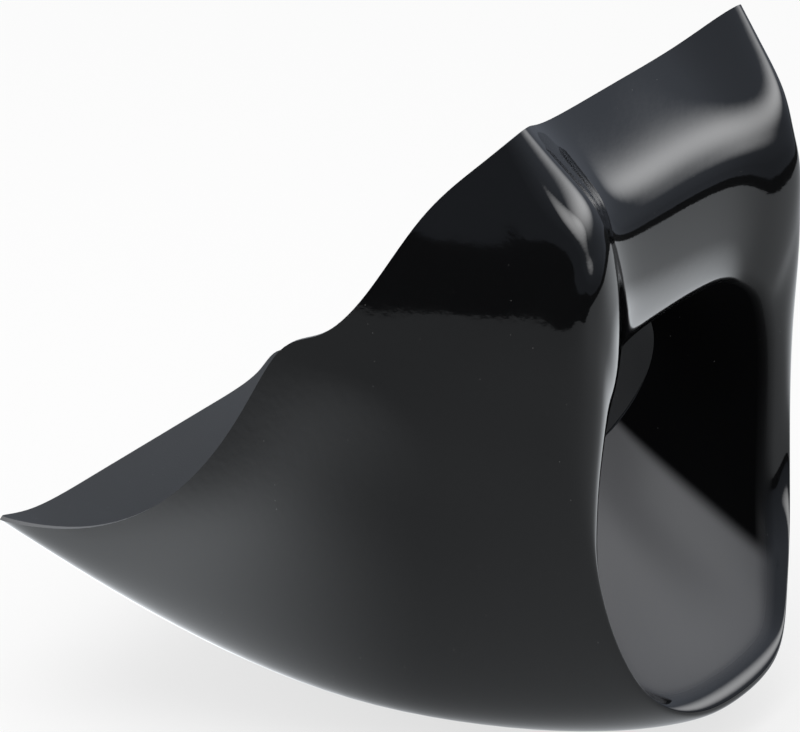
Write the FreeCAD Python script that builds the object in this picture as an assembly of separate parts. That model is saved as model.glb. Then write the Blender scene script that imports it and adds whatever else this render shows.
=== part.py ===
# Motorcycle chin spoiler: one moulded shell with a scooped air mouth.
# X is across, -Y is the front, +Z is up, all in millimetres.
import FreeCAD, Part
import math
import os

Vector = FreeCAD.Vector
os.makedirs("parts", exist_ok=True)
doc = FreeCAD.newDocument("chin_spoiler")

# driving dimensions
sheet = doc.addObject("Spreadsheet::Sheet", "dims")
drivers = [
    ("body_width", 330),     # over the two rear corners
    ("body_length", 395),    # lip to rear edge
    ("body_height", 390),    # keel to horn tops
    ("wall", 3),
    ("tail_bulge", 12),      # fullness of the skin between rim and waist, at the tail
    ("keel_bulge", 18),      # fullness under the chin
    ("mouth_width", 218),
    ("mouth_height", 214),
    ("mouth_rise", 147),     # centre of the mouth above the keel
    ("lip_proud", 4),        # how far the face swells between corner and mouth
    ("roll_depth", 9),       # reach of the rolled mouth edge
    ("scoop_fullness", 8),   # how square the scoop's lower corners stay
    ("floor_sag", 12),       # hollow of the scoop's floor
    ("vent_width", 188),     # hole at the back of the scoop
    ("vent_height", 86),
    ("vent_rise", 196),
    ("vent_depth", 66),
]
for row, (alias, value) in enumerate(drivers, start=1):
    sheet.set(f"A{row}", alias)
    sheet.set(f"B{row}", str(value))
    sheet.setAlias(f"B{row}", alias)
doc.recompute()

# Guide lines of one side, from the top centre round to the rear centre,
# as (half width, depth, height). The rim is the free edge, the waist runs
# round mid-skin, and the corner is where the side turns into the face.
drawn_size = (330, 395, 390)
ribs = {
    # rib            rim              waist            corner
    "top_centre": [(0, 47, 380), (0, 13, 344), (0, 3, 320)],
    "visor_mid": [(80, 49, 378), (80, 13, 343), (74, 2, 319)],
    "visor_side": [(117, 36, 392), (110, -4, 350), (100, -8, 318)],
    "horn_crest": [(142, 28, 396), (135, -1, 347), (122.5, -13, 312)],
    "horn_flank": [(141.5, 57, 370), (141, 25, 322), (130, -11, 294)],
    "upper_side": [(150, 85.5, 343.5), (146, 44, 298), (130.5, -10, 273)],
    "step_top": [(154.5, 118.5, 287), (147, 50, 268), (133.5, -8, 252)],
    "step_low": [(156.5, 146, 259), (147, 64, 241), (132.5, -6, 230)],
    "step_corner": [(157, 171, 259), (149, 76, 211), (131, -5, 202)],
    "rear_side": [(157, 196, 204), (146, 90, 173), (129, -6, 170)],
    "rear_low": [(160, 238, 147), (147, 106, 124), (122, -10, 131)],
    "rear_flat": [(162, 299, 117), (140, 132, 75), (111, -16, 93)],
    "rear_corner": [(169, 362, 120), (122, 152, 29), (92, -23, 58)],
    "rear_edge": [(138, 352, 109), (98, 158, 13), (71, -32, 39)],
    "rear_mid": [(70, 350, 111), (52, 158, 5), (40, -40, 27)],
    "rear_centre": [(0, 350, 111), (0, 158, 4), (0, -42, 25)],
}

# guide lines in between, as shares of the way from one line to the next
flank_share = 0.45     # rim to waist
shoulder_share = 0.64  # waist to corner
scoop_share = 0.42     # mouth to vent
throat_share = 0.78    # mouth to vent

# the mouth is a rounded oval, squarer at the top than at the chin
mouth_side_power = 0.41
mouth_side_change = 0.11
mouth_end_power = 0.83
mouth_depth_share = 0.75  # of the corner's depth
mouth_lean = 2.5          # top of the mouth lies this far behind its middle

# the mouth's edge rolls partly towards the vent and partly straight back
roll_to_vent = 0.4
roll_straight = 0.6
corner_back = 0.3         # how far the scoop's full corners also reach back
front_sag = 0.8           # of the floor's sag, nearer the mouth

keel_power = 4  # keeps the chin's fullness near the centre
sag_power = 6   # and the floor's hollow
tail_power = 2  # and the tail's fullness near the rear

same_way = 1    # a cut edge's two borders run in the same direction


def control_net():
    """One row of poles per rib, from the outer rim to the edge of the vent hole."""
    size_now = (sheet.body_width, sheet.body_length, sheet.body_height)
    scale = [now / drawn for now, drawn in zip(size_now, drawn_size)]
    net = []
    for step, drawn in enumerate(ribs.values()):
        rim, waist, corner = [Vector(*(size * k for size, k in zip(point, scale))) for point in drawn]
        turn = math.pi * step / (len(ribs) - 1)
        across, up = round(math.sin(turn), 9), math.cos(turn)

        outward = Vector(rim.x, 0, rim.z - sheet.vent_rise).normalize()
        flank = rim + (waist - rim) * flank_share
        flank += outward * sheet.tail_bulge * ((1 - up) / 2) ** tail_power
        shoulder = waist + (corner - waist) * shoulder_share
        shoulder.z -= sheet.keel_bulge * max(0, -up) ** keel_power

        mouth_up = math.copysign(abs(up) ** mouth_end_power, up)
        mouth = Vector(
            sheet.mouth_width / 2 * across ** (mouth_side_power - mouth_side_change * up),
            corner.y * mouth_depth_share + mouth_lean * up,
            sheet.mouth_rise + sheet.mouth_height / 2 * mouth_up,
        )
        vent = Vector(
            sheet.vent_width / 2 * across,
            sheet.vent_depth,
            sheet.vent_rise + sheet.vent_height / 2 * up,
        )
        face = (corner + mouth) / 2 - Vector(0, sheet.lip_proud, 0)
        inward = (vent - mouth).normalize() * roll_to_vent + Vector(0, roll_straight, 0)
        roll = mouth + inward.normalize() * sheet.roll_depth
        fuller = sheet.scoop_fullness * max(0, -math.sin(2 * turn))
        square = Vector(across, corner_back, up) * fuller
        sag = Vector(0, 0, -sheet.floor_sag * max(0, -up) ** sag_power)
        scoop = mouth + (vent - mouth) * scoop_share + square + sag * front_sag
        throat = mouth + (vent - mouth) * throat_share + square + sag
        net.append([rim, flank, waist, shoulder, corner, face, mouth, roll, scoop, throat, vent])
    return net


def mirrored(point):
    return Vector(-point.x, point.y, point.z)


def padded(net):
    """The net with outer poles, so the skin ends on its edge rows and meets its mirror image smoothly."""
    rows = [[row[0] * 2 - row[1]] + row + [row[-1] * 2 - row[-2]] for row in net]
    return [[mirrored(p) for p in rows[1]]] + rows + [[mirrored(p) for p in rows[-2]]]


def inner_net(net, thickness):
    """Every pole moved in by the wall along the net's own normal."""
    grid = padded(net)
    inner = []
    for i in range(1, len(grid) - 1):
        row = []
        for j in range(1, len(grid[0]) - 1):
            along_rib = grid[i][j + 1] - grid[i][j - 1]
            across_ribs = grid[i + 1][j] - grid[i - 1][j]
            row.append(grid[i][j] + across_ribs.cross(along_rib).normalize() * thickness)
        inner.append(row)
    return inner


def skin(net):
    """A smooth cubic surface over the net."""
    grid = padded(net)
    knots = [list(range(count + 4)) for count in (len(grid), len(grid[0]))]
    surface = Part.BSplineSurface()
    surface.buildFromPolesMultsKnots(
        grid, [1] * len(knots[0]), [1] * len(knots[1]), knots[0], knots[1], False, False, 3, 3
    )
    surface.segment(3, len(grid), 3, len(grid[0]))
    return surface


def half_faces(outer, inner):
    """Outer skin, inner skin, and the cut edges at the rim and at the hole."""
    first, last = outer.bounds()[2:]
    edges = [
        Part.makeRuledSurface(outer.vIso(v).toShape(), inner.vIso(v).toShape(), same_way)
        for v in (first, last)
    ]
    return [outer.toShape(), inner.toShape()] + edges


near_net = control_net()
near_inner = inner_net(near_net, sheet.wall)
near_faces = half_faces(skin(near_net), skin(near_inner))
far_faces = [face.mirror(Vector(0, 0, 0), Vector(1, 0, 0)) for face in near_faces]

wall_faces = Part.makeCompound(near_faces + far_faces)
wall_faces.sewShape(0.01)
shell = Part.makeSolid(wall_faces.Shells[0])
if shell.Volume < 0:
    shell.reverse()

spoiler = doc.addObject("Part::Feature", "spoiler_shell")
spoiler.Label = "spoiler_shell"
spoiler.Shape = shell
# the origin is under the middle of the part, at its lowest point
box = shell.optimalBoundingBox()
spoiler.Placement = FreeCAD.Placement(Vector(0, -box.Center.y, -box.ZMin), FreeCAD.Rotation())
doc.recompute()

for item in doc.Objects:
    if "Invalid" in item.State or "Error" in item.State:
        raise RuntimeError(f"{item.Label} did not recompute")
if spoiler.Shape.isNull() or not spoiler.Shape.isValid():
    raise RuntimeError("spoiler_shell has no valid solid")
spoiler.Shape.exportStep("parts/spoiler_shell.step")
print(f"spoiler_shell {box.XLength:.1f} x {box.YLength:.1f} x {box.ZLength:.1f} mm,"
      f" {spoiler.Shape.Volume / 1000:.0f} cm3, moved by {spoiler.Placement.Base}")
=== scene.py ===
import math

import bmesh
import bpy
from mathutils import Matrix, Vector


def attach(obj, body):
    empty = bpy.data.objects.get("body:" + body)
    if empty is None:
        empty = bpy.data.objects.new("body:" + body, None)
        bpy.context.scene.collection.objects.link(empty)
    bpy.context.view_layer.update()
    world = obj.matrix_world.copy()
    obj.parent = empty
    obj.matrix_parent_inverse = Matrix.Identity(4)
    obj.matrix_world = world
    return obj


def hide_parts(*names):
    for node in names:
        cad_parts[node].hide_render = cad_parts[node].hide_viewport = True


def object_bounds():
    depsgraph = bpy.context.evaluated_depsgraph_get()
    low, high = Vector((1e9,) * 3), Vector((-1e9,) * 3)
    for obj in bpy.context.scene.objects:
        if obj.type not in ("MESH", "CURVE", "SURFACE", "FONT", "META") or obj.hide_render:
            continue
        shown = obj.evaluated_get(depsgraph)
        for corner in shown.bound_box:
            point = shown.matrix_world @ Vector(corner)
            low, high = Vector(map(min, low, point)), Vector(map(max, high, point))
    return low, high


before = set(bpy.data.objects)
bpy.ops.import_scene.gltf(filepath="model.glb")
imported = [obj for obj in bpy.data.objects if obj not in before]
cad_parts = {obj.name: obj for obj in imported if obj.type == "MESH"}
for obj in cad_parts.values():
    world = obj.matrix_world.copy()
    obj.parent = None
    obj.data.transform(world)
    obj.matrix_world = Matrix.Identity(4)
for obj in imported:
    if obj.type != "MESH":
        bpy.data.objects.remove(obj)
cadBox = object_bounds()
print("frame loaded")

scene = bpy.context.scene
millimetre = 0.001
plainWhite = (1, 1, 1, 1)


def putNode(tree, kind, x, y, **settings):
    # a setting is the node's own, or else goes to the socket of that name, with _ for a space
    made = tree.nodes.new(kind)
    made.location = (x, y)
    for name, value in settings.items():
        if hasattr(made, name):
            setattr(made, name, value)
        else:
            made.inputs[name.replace("_", " ")].default_value = value
    return made


def freshMaterial(name):
    made = bpy.data.materials.new(name)
    made.use_nodes = True
    made.node_tree.nodes.clear()
    return made


def freshGroup(name, inputs, outputs):
    group = bpy.data.node_groups.new(name, "ShaderNodeTree")
    group.interface.new_socket("Vector", in_out="INPUT", socket_type="NodeSocketVector")
    for socket, value in inputs.items():
        made = group.interface.new_socket(socket, in_out="INPUT", socket_type="NodeSocketFloat")
        made.default_value = value
    for socket in outputs:
        group.interface.new_socket(socket, in_out="OUTPUT", socket_type="NodeSocketFloat")
    return group


def placeMesh(name, mesh):
    made = bpy.data.objects.new(name, mesh)
    scene.collection.objects.link(made)
    return made


def freshMesh(name, verts, faces):
    mesh = bpy.data.meshes.new(name)
    mesh.from_pydata(verts, [], faces)
    mesh.update()
    return placeMesh(name, mesh)


def closeMesh(name, bm):
    mesh = bpy.data.meshes.new(name)
    bm.to_mesh(mesh)
    bm.free()
    return mesh


def wayTo(azimuth, rise):
    # in degrees: azimuth 0 is the front, and 90 is the +X side
    a = math.radians(azimuth)
    e = math.radians(rise)
    return Vector((math.sin(a) * math.cos(e), -math.cos(a) * math.cos(e), math.sin(e)))


# the moulded skin in mm: one side's guide lines, from the top centre round to the rear centre
shell = {
    "wall": 3.0,
    "tailBulge": 12.0,        # fullness between rim and waist, at the tail
    "keelBulge": 18.0,        # fullness under the chin
    "mouthWidth": 218.0,
    "mouthHeight": 214.0,
    "mouthRise": 147.0,
    "lipProud": 4.0,          # swell of the face between corner and mouth
    "rollDepth": 9.0,         # reach of the rolled mouth edge
    "scoopFullness": 11.0,    # how square the scoop's lower corners stay
    "creaseSlide": 0.8,       # how far the scoop's lower crease runs under the hole
    "floorSag": 12.0,         # hollow of the scoop's floor
    "ventWidth": 188.0,       # hole at the back of the scoop
    "ventHeight": 86.0,
    "ventRise": 196.0,
    "ventDepth": 66.0,
    # lines in between, as shares of the way from one line to the next
    "flankShare": 0.45,       # rim to waist
    "shoulderShare": 0.64,    # waist to corner
    "faceShare": 0.5,         # corner to mouth
    "scoopShare": 0.42,       # mouth to hole
    "throatShare": 0.78,      # mouth to hole
    # the mouth is a rounded oval, squarer at the top than at the chin
    "mouthSidePower": 0.41,
    "mouthSideChange": 0.11,
    "mouthEndPower": 0.83,
    "mouthDepthShare": 0.75,  # of the corner's depth
    "mouthLean": 2.5,         # its top lies this far behind its middle
    # its edge rolls partly towards the hole and partly straight back
    "rollToVent": 0.4,
    "rollStraight": 0.6,
    "cornerBack": 0.3,        # how far the scoop's full corners also reach back
    "frontSag": 0.8,          # of the floor's sag, nearer the mouth
    "tailPower": 2,           # keeps the tail's fullness near the rear
    "keelPower": 4,           # keeps the chin's fullness near the centre
    "sagPower": 6,            # keeps the floor's hollow near the centre
    "scoopFrom": 7,           # first ring that lies inside the mouth
    "insideSlot": 1,          # places of the other materials on the piece
    "rimSlot": 2,
    "edgeCrease": 1.0,        # 1 keeps the rim and the hole's edge sharp
    "smoothLevels": 3,
    # rim, waist, corner
    "ribs": [
        [(0, 47, 380), (0, 13, 344), (0, 3, 320)],
        [(80, 49, 378), (80, 13, 343), (74, 2, 319)],
        [(117, 36, 392), (110, -4, 350), (100, -8, 318)],
        [(139.5, 29.5, 395), (134, -1, 347), (123, -13, 312)],
        [(141.5, 57, 370), (141, 25, 322), (129.5, -11, 294)],
        [(150.5, 85.5, 343.5), (145.5, 44, 298), (131.5, -10, 273)],
        [(155, 118, 287), (147, 50, 268), (131.5, -8, 252)],
        [(156.5, 146, 259), (148.5, 64, 241), (131, -6, 230)],
        [(157, 171, 259), (149.5, 76, 211), (131, -5, 202)],
        [(157, 196, 204), (146, 90, 173), (129, -6, 170)],
        [(160, 238, 147), (147, 106, 124), (122, -10, 131)],
        [(162, 299, 117), (140, 132, 75), (111, -16, 93)],
        [(169, 362, 120), (122, 152, 29), (92, -23, 58)],
        [(138, 352, 109), (98, 158, 13), (71, -32, 39)],
        [(70, 350, 111), (52, 158, 5), (40, -40, 27)],
        [(0, 350, 111), (0, 158, 4), (0, -42, 25)],
    ],
}


def sideways(turn):
    return round(math.sin(turn), 9)    # exactly 0 on the middle plane


def ribPoints(step):
    s = shell
    rim, waist, corner = [Vector(p) for p in s["ribs"][step]]
    turn = math.pi * step / (len(s["ribs"]) - 1)
    across = sideways(turn)
    up = math.cos(turn)

    outward = Vector((rim.x, 0, rim.z - s["ventRise"])).normalized()
    tailBulge = s["tailBulge"] * ((1 - up) / 2) ** s["tailPower"]
    flank = rim.lerp(waist, s["flankShare"]) + outward * tailBulge
    keelBulge = s["keelBulge"] * max(0, -up) ** s["keelPower"]
    shoulder = waist.lerp(corner, s["shoulderShare"]) - Vector((0, 0, keelBulge))

    mouthUp = math.copysign(abs(up) ** s["mouthEndPower"], up)
    mouth = Vector((
        s["mouthWidth"] / 2 * across ** (s["mouthSidePower"] - s["mouthSideChange"] * up),
        corner.y * s["mouthDepthShare"] + s["mouthLean"] * up,
        s["mouthRise"] + s["mouthHeight"] / 2 * mouthUp,
    ))
    lagging = turn + s["creaseSlide"] * across ** 2 * turn / math.pi
    vent = Vector((
        s["ventWidth"] / 2 * sideways(lagging),
        s["ventDepth"],
        s["ventRise"] + s["ventHeight"] / 2 * math.cos(lagging),
    ))
    face = corner.lerp(mouth, s["faceShare"]) - Vector((0, s["lipProud"], 0))
    inward = (vent - mouth).normalized() * s["rollToVent"] + Vector((0, s["rollStraight"], 0))
    roll = mouth + inward.normalized() * s["rollDepth"]
    square = Vector((across, s["cornerBack"], up)) * s["scoopFullness"] * max(0, -math.sin(2 * turn))
    sag = Vector((0, 0, -s["floorSag"] * max(0, -up) ** s["sagPower"]))
    scoop = mouth.lerp(vent, s["scoopShare"]) + square + sag * s["frontSag"]
    throat = mouth.lerp(vent, s["throatShare"]) + square + sag
    return [rim, flank, waist, shoulder, corner, face, mouth, roll, scoop, throat, vent]


def outerNet():
    side = [ribPoints(step) for step in range(len(shell["ribs"]))]
    mirrored = [[Vector((-p.x, p.y, p.z)) for p in row] for row in side[-2:0:-1]]
    return side + mirrored


def innerNet(outer):
    inner = []
    for i, row in enumerate(outer):
        inner.append([])
        following = outer[(i + 1) % len(outer)]
        for j, point in enumerate(row):
            along = row[min(j + 1, len(row) - 1)] - row[max(j - 1, 0)]
            aside = following[j] - outer[i - 1][j]
            inner[i].append(point + aside.cross(along).normalized() * shell["wall"])
    return inner


def shellCage(name):
    outer = outerNet()
    inner = innerNet(outer)
    spokes = len(outer)
    rings = len(outer[0])

    bm = bmesh.new()
    inScoop = bm.verts.layers.float.new("inScoop")
    floorward = bm.verts.layers.float.new("floorward")    # 1 at the scoop's floor, -1 at its roof
    outerVerts = [[bm.verts.new(p * millimetre) for p in row] for row in outer]
    innerVerts = [[bm.verts.new(p * millimetre) for p in row] for row in inner]
    for i, row in enumerate(outerVerts):
        for v in row[shell["scoopFrom"]:]:
            v[inScoop] = 1.0
        for v in row:
            v[floorward] = -math.cos(2 * math.pi * i / spokes)
    for i in range(spokes):
        n = (i + 1) % spokes
        a, b = outerVerts[i], outerVerts[n]
        c, d = innerVerts[i], innerVerts[n]
        for j in range(rings - 1):
            bm.faces.new((a[j], a[j + 1], b[j + 1], b[j]))
            bm.faces.new((c[j], d[j], d[j + 1], c[j + 1])).material_index = shell["insideSlot"]
        bm.faces.new((a[0], b[0], d[0], c[0])).material_index = shell["rimSlot"]
        bm.faces.new((a[-1], c[-1], d[-1], b[-1]))    # the hole's edge

    # both borders of the rim and of the hole's edge stay sharp
    creases = bm.edges.layers.float.new("crease_edge")
    for rows in (outerVerts, innerVerts):
        for ring in (0, rings - 1):
            for i in range(spokes):
                edge = bm.edges.get((rows[i][ring], rows[(i + 1) % spokes][ring]))
                edge[creases] = shell["edgeCrease"]
                edge.smooth = False
    for f in bm.faces:
        f.smooth = True
    return closeMesh(name, bm)


def makeShell(materials):
    piece = placeMesh("spoilerShell", shellCage("spoilerShell"))
    for made in materials:
        piece.data.materials.append(made)
    smooth = piece.modifiers.new("smooth", "SUBSURF")
    smooth.levels = shell["smoothLevels"]
    smooth.render_levels = shell["smoothLevels"]
    bpy.context.view_layer.update()
    seen = piece.evaluated_get(bpy.context.evaluated_depsgraph_get())
    finished = bpy.data.meshes.new_from_object(seen)
    piece.modifiers.clear()
    piece.data = finished

    # sit it where the solid is: same middle and same lowest point
    depths = [v.co.y for v in finished.vertices]
    lowest = min(v.co.z for v in finished.vertices)
    middle = (min(depths) + max(depths)) / 2
    move = Vector((0, (cadBox[0][1] + cadBox[1][1]) / 2 - middle, cadBox[0][2] - lowest))
    finished.transform(Matrix.Translation(move))
    print("shell:", len(finished.vertices), "points, moved by", [round(x, 4) for x in move])
    return piece


# what every face of the moulding shares: a fine surface grain, patchy gloss and a little dust
mouldFinish = {
    "grain": {"Detail": 3.0, "Roughness": 0.55},
    "smudge": {"Detail": 5.0, "Roughness": 0.6, "Distortion": 0.4},
    "smudgeRange": {"From_Min": 0.35, "From_Max": 0.7},    # from the glossiest patches to the dullest
    "specks": {"Scale": 330.0},
    "speckFade": {"From_Min": 0.10, "From_Max": 0.04},     # from a speck's border to its full tone
    # overall values, which each material sets anew
    "inputs": {
        "Grain Scale": 200.0,
        "Smudge Scale": 9.0,
        "Gloss Low": 0.05,
        "Gloss High": 0.10,
        "Dust Amount": 0.3,
    },
}


def makeMouldFinish():
    outputs = ("Height", "Roughness", "Dust", "Patches")
    group = freshGroup("mouldFinish", mouldFinish["inputs"], outputs)
    start = putNode(group, "NodeGroupInput", -900, 0)
    end = putNode(group, "NodeGroupOutput", 500, 0)
    grain = putNode(group, "ShaderNodeTexNoise", -600, 300, **mouldFinish["grain"])
    smudge = putNode(group, "ShaderNodeTexNoise", -600, 0, **mouldFinish["smudge"])
    specks = putNode(group, "ShaderNodeTexVoronoi", -600, -300, **mouldFinish["specks"])
    gloss = putNode(group, "ShaderNodeMapRange", -250, 0, **mouldFinish["smudgeRange"])
    speckSize = putNode(group, "ShaderNodeMapRange", -350, -300, **mouldFinish["speckFade"])
    someSpecks = putNode(group, "ShaderNodeMath", -350, -550, operation="GREATER_THAN")
    split = putNode(group, "ShaderNodeSeparateColor", -600, -550)
    dust = putNode(group, "ShaderNodeMath", -100, -400, operation="MULTIPLY")
    least = putNode(group, "ShaderNodeMath", -600, -750, operation="SUBTRACT")
    least.inputs[0].default_value = 1.0

    join = group.links.new
    for texture in (grain, smudge, specks):
        join(start.outputs["Vector"], texture.inputs["Vector"])
    join(start.outputs["Grain Scale"], grain.inputs["Scale"])
    join(start.outputs["Smudge Scale"], smudge.inputs["Scale"])
    join(smudge.outputs["Fac"], gloss.inputs["Value"])
    join(start.outputs["Gloss Low"], gloss.inputs["To Min"])
    join(start.outputs["Gloss High"], gloss.inputs["To Max"])
    join(specks.outputs["Distance"], speckSize.inputs["Value"])
    join(specks.outputs["Color"], split.inputs["Color"])
    join(start.outputs["Dust Amount"], least.inputs[1])
    join(split.outputs["Red"], someSpecks.inputs[0])
    join(least.outputs["Value"], someSpecks.inputs[1])
    join(speckSize.outputs["Result"], dust.inputs[0])
    join(someSpecks.outputs["Value"], dust.inputs[1])
    join(grain.outputs["Fac"], end.inputs["Height"])
    join(gloss.outputs["Result"], end.inputs["Roughness"])
    join(dust.outputs["Value"], end.inputs["Dust"])
    join(smudge.outputs["Fac"], end.inputs["Patches"])
    return group


glossBlack = {
    "dark": (0.0022, 0.0023, 0.0026, 1),
    "pale": (0.0038, 0.0039, 0.0042, 1),
    "dust": (0.16, 0.16, 0.155, 1),
    "peelDepth": 0.00002,    # orange peel of the lacquer, m
    "scoop": {
        # painted reflection: the scoop's floor is painted this grey to stand for the bright ceiling it
        # mirrors
        "floor": (0.071, 0.072, 0.077, 1),
        "roughness": 0.45,
        "floorShine": 0.24,
        "wallShine": 0.0,
        "crease": 0.56,      # where the floor's painted grey meets the walls, from -1 at the roof to 1 at the floor
        "creaseFade": 0.14,
    },
    "finish": {
        "Grain Scale": 170.0,
        "Smudge Scale": 8.0,
        "Gloss Low": 0.03,
        "Gloss High": 0.07,
        "Dust Amount": 0.04,
    },
}
satinInside = {
    "dark": (0.026, 0.027, 0.028, 1),
    "pale": (0.042, 0.043, 0.044, 1),
    "dust": (0.20, 0.195, 0.185, 1),
    "peelDepth": 0.00012,
    "scoop": None,
    "finish": {
        "Grain Scale": 900.0,
        "Smudge Scale": 14.0,
        "Gloss Low": 0.36,
        "Gloss High": 0.50,
        "Dust Amount": 0.12,
    },
}
# the rim's cut edge is painted a paler grey than the inside: a painted highlight along the rim
cutEdgePaintedHighlight = dict(satinInside, dark=(0.13, 0.131, 0.133, 1), pale=(0.17, 0.171, 0.173, 1))


def dullScoopWithPaintedFloor(tree, plastic, look, color, roughness):
    # inside the mouth the walls are dull black, and the floor up to the crease is painted grey with a
    # satin shine: a painted reflection of the bright ceiling
    inside = putNode(tree, "ShaderNodeAttribute", -450, -400, attribute_name="inScoop")
    floorward = putNode(tree, "ShaderNodeAttribute", -450, -600, attribute_name="floorward")
    paler = putNode(tree, "ShaderNodeMapRange", -200, -550, interpolation_type="SMOOTHSTEP")
    paler.inputs["From Min"].default_value = look["crease"]
    paler.inputs["From Max"].default_value = look["crease"] + look["creaseFade"]
    paintedReflectionMask = putNode(tree, "ShaderNodeMath", 0, -500, operation="MULTIPLY")
    shine = putNode(tree, "ShaderNodeMix", 0, -700, data_type="FLOAT")
    shine.inputs["A"].default_value = look["wallShine"]
    shine.inputs["B"].default_value = look["floorShine"]
    specular = putNode(tree, "ShaderNodeMix", 200, -600, data_type="FLOAT")
    specular.inputs["A"].default_value = plastic.inputs["Specular IOR Level"].default_value
    rough = putNode(tree, "ShaderNodeMix", 200, -400, data_type="FLOAT", B=look["roughness"])
    withPaintedReflection = putNode(tree, "ShaderNodeMix", 250, 200, data_type="RGBA", B=look["floor"])

    join = tree.links.new
    join(floorward.outputs["Fac"], paler.inputs["Value"])
    join(paler.outputs["Result"], paintedReflectionMask.inputs[0])
    join(inside.outputs["Fac"], paintedReflectionMask.inputs[1])
    join(paler.outputs["Result"], shine.inputs["Factor"])
    join(inside.outputs["Fac"], specular.inputs["Factor"])
    join(shine.outputs["Result"], specular.inputs["B"])
    join(specular.outputs["Result"], plastic.inputs["Specular IOR Level"])
    join(inside.outputs["Fac"], rough.inputs["Factor"])
    join(roughness, rough.inputs["A"])
    join(paintedReflectionMask.outputs["Value"], withPaintedReflection.inputs["Factor"])
    join(color, withPaintedReflection.inputs["A"])
    return withPaintedReflection.outputs["Result"], rough.outputs["Result"]


def makePlastic(name, look, group):
    made = freshMaterial(name)
    tree = made.node_tree
    out = putNode(tree, "ShaderNodeOutputMaterial", 700, 0)
    plastic = putNode(tree, "ShaderNodeBsdfPrincipled", 400, 0, IOR=1.5)
    where = putNode(tree, "ShaderNodeTexCoord", -700, 0)
    finish = putNode(tree, "ShaderNodeGroup", -450, 0, node_tree=group)
    for socket, value in look["finish"].items():
        finish.inputs[socket].default_value = value
    patchy = putNode(tree, "ShaderNodeMix", -150, 200, data_type="RGBA", A=look["dark"], B=look["pale"])
    dusted = putNode(tree, "ShaderNodeMix", 100, 200, data_type="RGBA", B=look["dust"])
    bump = putNode(tree, "ShaderNodeBump", 100, -250, Strength=1.0, Distance=look["peelDepth"])

    join = tree.links.new
    join(where.outputs["Object"], finish.inputs["Vector"])
    join(finish.outputs["Patches"], patchy.inputs["Factor"])
    join(patchy.outputs["Result"], dusted.inputs["A"])
    join(finish.outputs["Dust"], dusted.inputs["Factor"])
    color = dusted.outputs["Result"]
    roughness = finish.outputs["Roughness"]
    # the scoop's floor gets a painted reflection, and its walls a dull black
    if look["scoop"]:
        color, roughness = dullScoopWithPaintedFloor(tree, plastic, look["scoop"], color, roughness)
    join(color, plastic.inputs["Base Color"])
    join(roughness, plastic.inputs["Roughness"])
    join(finish.outputs["Height"], bump.inputs["Height"])
    join(bump.outputs["Normal"], plastic.inputs["Normal"])
    join(plastic.outputs["BSDF"], out.inputs["Surface"])
    return made


finishGroup = makeMouldFinish()
shellPiece = makeShell([
    makePlastic("glossBlackShell", glossBlack, finishGroup),
    makePlastic("satinInside", satinInside, finishGroup),
    makePlastic("cutEdgePaintedHighlight", cutEdgePaintedHighlight, finishGroup),
])
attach(shellPiece, "root")
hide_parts("spoiler_shell")
print("shell dressed")


# the studio: white paper floor, an even room and a soft light above
studio = {
    "floorColor": (0.965, 0.965, 0.965, 1),
    "floorReach": 12.0,
    "floorGlow": 0.72,    # how much of the floor's look is plain white to the camera
    "ambient": 0.72,
    "lampPower": 26.0,
    "lampSize": 2.4,
    "lampAt": (-0.6, 0.3, 2.6),
}


def makeFloor():
    reach = studio["floorReach"]
    corners = [(-reach, -reach, 0), (reach, -reach, 0), (reach, reach, 0), (-reach, reach, 0)]
    floor = freshMesh("floor", corners, [(0, 1, 2, 3)])
    paper = freshMaterial("whitePaper")
    tree = paper.node_tree
    out = putNode(tree, "ShaderNodeOutputMaterial", 500, 0)
    matte = putNode(tree, "ShaderNodeBsdfPrincipled", 0, 0, Roughness=1.0, Specular_IOR_Level=0.0)
    matte.inputs["Base Color"].default_value = studio["floorColor"]
    glow = putNode(tree, "ShaderNodeEmission", 0, -400, Color=plainWhite, Strength=1.0)
    rays = putNode(tree, "ShaderNodeLightPath", -400, 200)
    seen = putNode(tree, "ShaderNodeMath", -200, 200, operation="MULTIPLY")
    seen.inputs[1].default_value = studio["floorGlow"]
    mix = putNode(tree, "ShaderNodeMixShader", 300, 0)
    join = tree.links.new
    join(rays.outputs["Is Camera Ray"], seen.inputs[0])
    join(seen.outputs["Value"], mix.inputs[0])
    join(matte.outputs["BSDF"], mix.inputs[1])
    join(glow.outputs["Emission"], mix.inputs[2])
    join(mix.outputs["Shader"], out.inputs["Surface"])
    floor.data.materials.append(paper)


def makeWorld():
    # white for the camera, the gloss and glass; a plain level for the rest
    world = bpy.data.worlds.new("studioWorld")
    scene.world = world
    world.use_nodes = True
    tree = world.node_tree
    tree.nodes.clear()
    out = putNode(tree, "ShaderNodeOutputWorld", 500, 0)
    mix = putNode(tree, "ShaderNodeMixShader", 300, 0)
    plain = putNode(tree, "ShaderNodeBackground", 50, 0, Color=plainWhite, Strength=studio["ambient"])
    white = putNode(tree, "ShaderNodeBackground", 50, -150, Color=plainWhite, Strength=1.0)
    rays = putNode(tree, "ShaderNodeLightPath", -500, 0)
    first = putNode(tree, "ShaderNodeMath", -300, 0, operation="MAXIMUM")
    second = putNode(tree, "ShaderNodeMath", -120, 0, operation="MAXIMUM")
    join = tree.links.new
    join(rays.outputs["Is Camera Ray"], first.inputs[0])
    join(rays.outputs["Is Glossy Ray"], first.inputs[1])
    join(first.outputs["Value"], second.inputs[0])
    join(rays.outputs["Is Transmission Ray"], second.inputs[1])
    join(second.outputs["Value"], mix.inputs[0])
    join(plain.outputs["Background"], mix.inputs[1])
    join(white.outputs["Background"], mix.inputs[2])
    join(mix.outputs["Shader"], out.inputs["Surface"])


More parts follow.
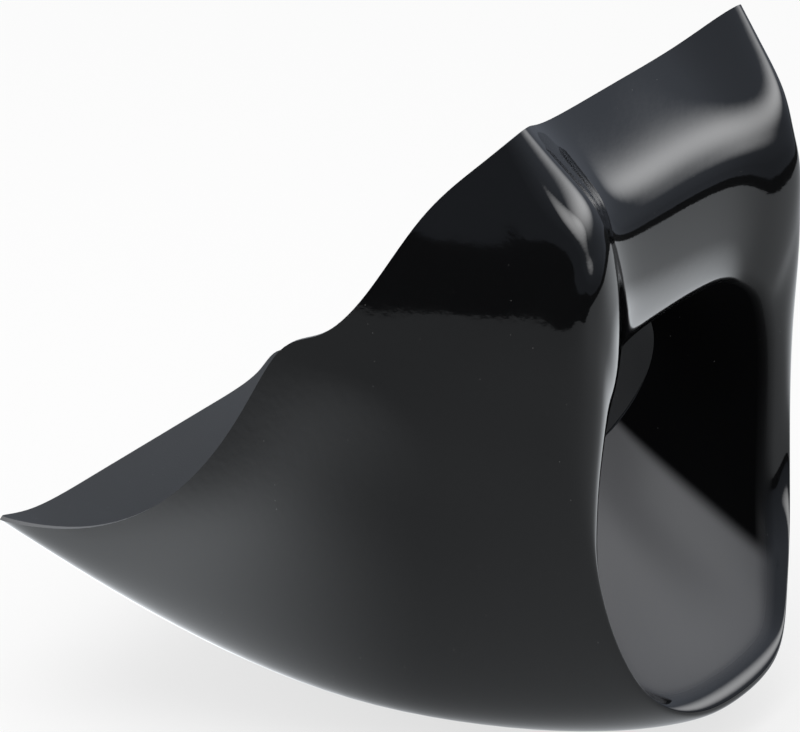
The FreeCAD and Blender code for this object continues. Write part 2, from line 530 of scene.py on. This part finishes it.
def makeLamp():
    lamp = bpy.data.lights.new("topLight", "AREA")
    lamp.energy = studio["lampPower"]
    lamp.size = studio["lampSize"]
    above = bpy.data.objects.new("topLight", lamp)
    above.location = studio["lampAt"]
    above.rotation_euler = (-above.location).to_track_quat("-Z", "Y").to_euler()
    above.visible_glossy = False
    scene.collection.objects.link(above)


makeFloor()
makeWorld()
makeLamp()
print("floor and light set")


# the rest of the studio shows only in the gloss
def onlyInGloss(card):
    card.visible_camera = False
    card.visible_diffuse = False
    card.visible_transmission = False
    card.visible_volume_scatter = False
    card.visible_shadow = False


def emission(name, color, strength):
    made = freshMaterial(name)
    tree = made.node_tree
    out = putNode(tree, "ShaderNodeOutputMaterial", 500, 0)
    glow = putNode(tree, "ShaderNodeEmission", 150, 0, Color=color, Strength=strength)
    tree.links.new(glow.outputs["Emission"], out.inputs["Surface"])
    return made


# table top, in m
tableTop = {
    "color": (0.96, 1.0, 1.04, 1),
    "left": 0.38,                   # its glow at the left
    "front": 0.72,                  # and at the front right
    "toFront": (0.64, -0.77, 0),
    "reach": 0.6,                   # the glow changes within this distance
    # under the tail, and before the face
    "spots": [
        {"at": (-0.20, 0.32, 0), "glow": 1.9, "stretch": 1.5, "from": 0.14, "to": 0.38},
        {"at": (0.50, -0.20, 0), "glow": 0.9, "stretch": 1.0, "from": 0.08, "to": 0.36},
    ],
}


def tableGlow():
    made = emission("tableGlow", tableTop["color"], 0.0)
    tree = made.node_tree
    where = putNode(tree, "ShaderNodeTexCoord", -900, 0)
    along = putNode(tree, "ShaderNodeVectorMath", -650, 0, operation="DOT_PRODUCT")
    along.inputs[1].default_value = tableTop["toFront"]
    level = putNode(tree, "ShaderNodeMapRange", -450, 0, interpolation_type="SMOOTHSTEP")
    level.inputs["From Min"].default_value = -tableTop["reach"]
    level.inputs["From Max"].default_value = tableTop["reach"]
    level.inputs["To Min"].default_value = tableTop["left"]
    level.inputs["To Max"].default_value = tableTop["front"]
    join = tree.links.new
    join(where.outputs["Object"], along.inputs[0])
    join(along.outputs["Value"], level.inputs["Value"])
    total = level.outputs["Result"]
    for row, spot in enumerate(tableTop["spots"], start=1):
        y = -250 * row
        placed = putNode(tree, "ShaderNodeVectorMath", -650, y, operation="SUBTRACT")
        placed.inputs[1].default_value = spot["at"]
        squeezed = putNode(tree, "ShaderNodeVectorMath", -450, y, operation="DIVIDE")
        squeezed.inputs[1].default_value = (spot["stretch"], 1, 1)
        away = putNode(tree, "ShaderNodeVectorMath", -300, y, operation="LENGTH")
        fade = putNode(tree, "ShaderNodeMapRange", -150, y, interpolation_type="SMOOTHSTEP")
        fade.inputs["From Min"].default_value = spot["from"]
        fade.inputs["From Max"].default_value = spot["to"]
        fade.inputs["To Min"].default_value = spot["glow"]
        fade.inputs["To Max"].default_value = 0.0
        added = putNode(tree, "ShaderNodeMath", 0, y, operation="ADD")
        join(where.outputs["Object"], placed.inputs[0])
        join(placed.outputs["Vector"], squeezed.inputs[0])
        join(squeezed.outputs["Vector"], away.inputs[0])
        join(away.outputs["Value"], fade.inputs["Value"])
        join(total, added.inputs[0])
        join(fade.outputs["Result"], added.inputs[1])
        total = added.outputs["Value"]
    join(total, tree.nodes["Emission"].inputs["Strength"])
    return made


# slate walls and ceiling
slate = {
    "color": (0.86, 0.95, 1.12, 1),
    "low": 0.21,        # glow at the horizon
    "high": 0.60,       # glow higher up
    "highFrom": 0.6,    # sine of the rise from which on it is that high
    "radius": 3.0,
    "segments": 48,
    "rows": 24,
}


def slateWalls():
    made = emission("slateWalls", slate["color"], 0.0)
    tree = made.node_tree
    where = putNode(tree, "ShaderNodeTexCoord", -1100, 0)
    way = putNode(tree, "ShaderNodeVectorMath", -900, 0, operation="NORMALIZE")
    split = putNode(tree, "ShaderNodeSeparateXYZ", -700, 150)
    level = putNode(tree, "ShaderNodeMapRange", -500, 150)
    level.inputs["From Min"].default_value = 0.0
    level.inputs["From Max"].default_value = slate["highFrom"]
    level.inputs["To Min"].default_value = slate["low"]
    level.inputs["To Max"].default_value = slate["high"]
    join = tree.links.new
    join(where.outputs["Object"], way.inputs[0])
    join(way.outputs["Vector"], split.inputs["Vector"])
    join(split.outputs["Z"], level.inputs["Value"])
    join(level.outputs["Result"], tree.nodes["Emission"].inputs["Strength"])
    return made


def makeUpperCard():
    bm = bmesh.new()
    bmesh.ops.create_uvsphere(
        bm, u_segments=slate["segments"], v_segments=slate["rows"], radius=slate["radius"]
    )
    upper = placeMesh("upperCard", closeMesh("upperCard", bm))
    upper.data.materials.append(slateWalls())
    onlyInGloss(upper)


# dark edge round the table, higher at the left than at the front right, with a slate shelf behind it
roomEdge = {
    "centre": (0.25, -0.35),
    "radius": 1.256,
    "tableHeight": 0.001,
    "toLeft": (-1, 0.75),
    "leftHeight": 0.122,
    "frontHeight": 0.08,
    "shelfReach": 6,    # times as far out as the edge
    "steps": 360,
    "darkColor": (0.92, 0.96, 1.0, 1),
    "darkGlow": 0.03,
    # uneven places: at, width (degrees), out, up (m)
    "bumps": [
        (154, 8, 0.10, 0),
        (163.2, 3, 0, 0.035),
        (169, 5, -0.04, 0),
        (187, 7, 0, -0.025),
        (188, 8, 0.12, 0),
        (206, 10, 0, 0.035),
    ],
}


def edgePoint(turn):
    edge = roomEdge
    way = Vector((math.cos(turn), math.sin(turn)))
    share = (1 + way.dot(Vector(edge["toLeft"]).normalized())) / 2
    height = edge["frontHeight"] + (edge["leftHeight"] - edge["frontHeight"]) * share
    radius = edge["radius"]
    for at, width, out, up in edge["bumps"]:
        near = math.exp(-((math.degrees(turn) - at) / width) ** 2)
        radius += out * near
        height += up * near
    return Vector(edge["centre"]) + way * radius, height


def makeRoomCard():
    count = roomEdge["steps"]
    shelf = roomEdge["shelfReach"]
    ring = [edgePoint(2 * math.pi * k / count) for k in range(count)]
    verts = [(p.x, p.y, roomEdge["tableHeight"]) for p, height in ring]
    verts += [(p.x, p.y, height) for p, height in ring]
    verts += [(p.x * shelf, p.y * shelf, height) for p, height in ring]
    faces = [tuple(range(count))]
    for k in range(count):
        n = (k + 1) % count
        faces.append((k, n, count + n, count + k))
        faces.append((count + k, count + n, 2 * count + n, 2 * count + k))
    room = freshMesh("roomCard", verts, faces)
    for made in (
        tableGlow(),
        emission("roomDark", roomEdge["darkColor"], roomEdge["darkGlow"]),
        emission("roomShelf", slate["color"], slate["low"]),
    ):
        room.data.materials.append(made)
    for f, slot in zip(room.data.polygons, [0] + [1, 2] * count):
        f.material_index = slot
    onlyInGloss(room)


# a wide soft box at the front right, and a small one at the front left
softboxes = {
    "aim": (0, 0, 0.3),
    "boxes": {
        "wideBox": {
            "azimuth": 28,
            "rise": 19,
            "distance": 1.6,
            "halfSize": (1.85, 0.48),
            "glow": 5.6,
            "falloff": 0.8,
        },
        "sideBox": {
            "azimuth": -22,
            "rise": 10,
            "distance": 1.5,
            "halfSize": (1.0, 0.25),
            "glow": 6.0,
            "falloff": 0.5,
        },
    },
}


def makeSoftEdge():
    # 1 in the middle of a card, and 0 at its edge
    group = freshGroup("softEdge", {"Falloff": 1.0}, ["Level"])
    start = putNode(group, "NodeGroupInput", -900, 0)
    end = putNode(group, "NodeGroupOutput", 150, 0)
    centred = putNode(group, "ShaderNodeMapping", -700, 0, Location=(-1, -1, 0), Scale=(2, 2, 0))
    middle = putNode(group, "ShaderNodeTexGradient", -450, 0, gradient_type="SPHERICAL")
    shape = putNode(group, "ShaderNodeMath", -250, 0, operation="POWER")
    level = putNode(group, "ShaderNodeMapRange", -60, 0, interpolation_type="SMOOTHSTEP")
    join = group.links.new
    join(start.outputs["Vector"], centred.inputs["Vector"])
    join(centred.outputs["Vector"], middle.inputs["Vector"])
    join(middle.outputs["Fac"], shape.inputs[0])
    join(start.outputs["Falloff"], shape.inputs[1])
    join(shape.outputs["Value"], level.inputs["Value"])
    join(level.outputs["Result"], end.inputs["Level"])
    return group


def softboxGlow(name, look, group):
    # it fades to clear, so that its edge hides nothing behind it
    made = emission(name, plainWhite, look["glow"])
    tree = made.node_tree
    glow = tree.nodes["Emission"]
    where = putNode(tree, "ShaderNodeTexCoord", -400, 0)
    soft = putNode(tree, "ShaderNodeGroup", -150, 0, node_tree=group, Falloff=look["falloff"])
    clear = putNode(tree, "ShaderNodeBsdfTransparent", 150, -150)
    both = putNode(tree, "ShaderNodeAddShader", 330, -50)
    join = tree.links.new
    join(where.outputs["UV"], soft.inputs["Vector"])
    join(soft.outputs["Level"], glow.inputs["Color"])
    join(glow.outputs["Emission"], both.inputs[0])
    join(clear.outputs["BSDF"], both.inputs[1])
    join(both.outputs["Shader"], tree.nodes["Material Output"].inputs["Surface"])
    return made


def makeSoftboxes():
    edgeGroup = makeSoftEdge()
    for name, look in softboxes["boxes"].items():
        toward = wayTo(look["azimuth"], look["rise"])
        middle = Vector(softboxes["aim"]) + toward * look["distance"]
        right = Vector((0, 0, 1)).cross(toward).normalized() * look["halfSize"][0]
        upward = toward.cross(right).normalized() * look["halfSize"][1]
        low = middle - upward
        high = middle + upward
        box = freshMesh(name, [low - right, low + right, high + right, high - right], [(0, 1, 2, 3)])
        layer = box.data.uv_layers.new(name="UVMap")
        for loop, uv in zip(layer.data, ((0, 0), (1, 0), (1, 1), (0, 1))):
            loop.uv = uv
        box.data.materials.append(softboxGlow(name, look, edgeGroup))
        onlyInGloss(box)


makeRoomCard()
makeUpperCard()
makeSoftboxes()
print("cards set")


# camera at the photo's angle
camera = {
    "aim": (-0.0083, 0.0195, 0.1892),
    "azimuth": -61.0,
    "rise": 20.0,
    "distance": 4.5,
    "lens": 354.4,
    "sensor": 36.0,
    "clipEnd": 60.0,
}


def makeCamera():
    back = wayTo(camera["azimuth"], camera["rise"])
    data = bpy.data.cameras.new("photoCamera")
    data.sensor_fit = "HORIZONTAL"
    data.sensor_width = camera["sensor"]
    data.lens = camera["lens"]
    data.clip_end = camera["clipEnd"]
    made = bpy.data.objects.new("photoCamera", data)
    made.location = Vector(camera["aim"]) + back * camera["distance"]
    made.rotation_euler = (-back).to_track_quat("-Z", "Y").to_euler()
    scene.collection.objects.link(made)
    scene.camera = made


makeCamera()
scene.view_settings.view_transform = "Standard"
print("camera set")
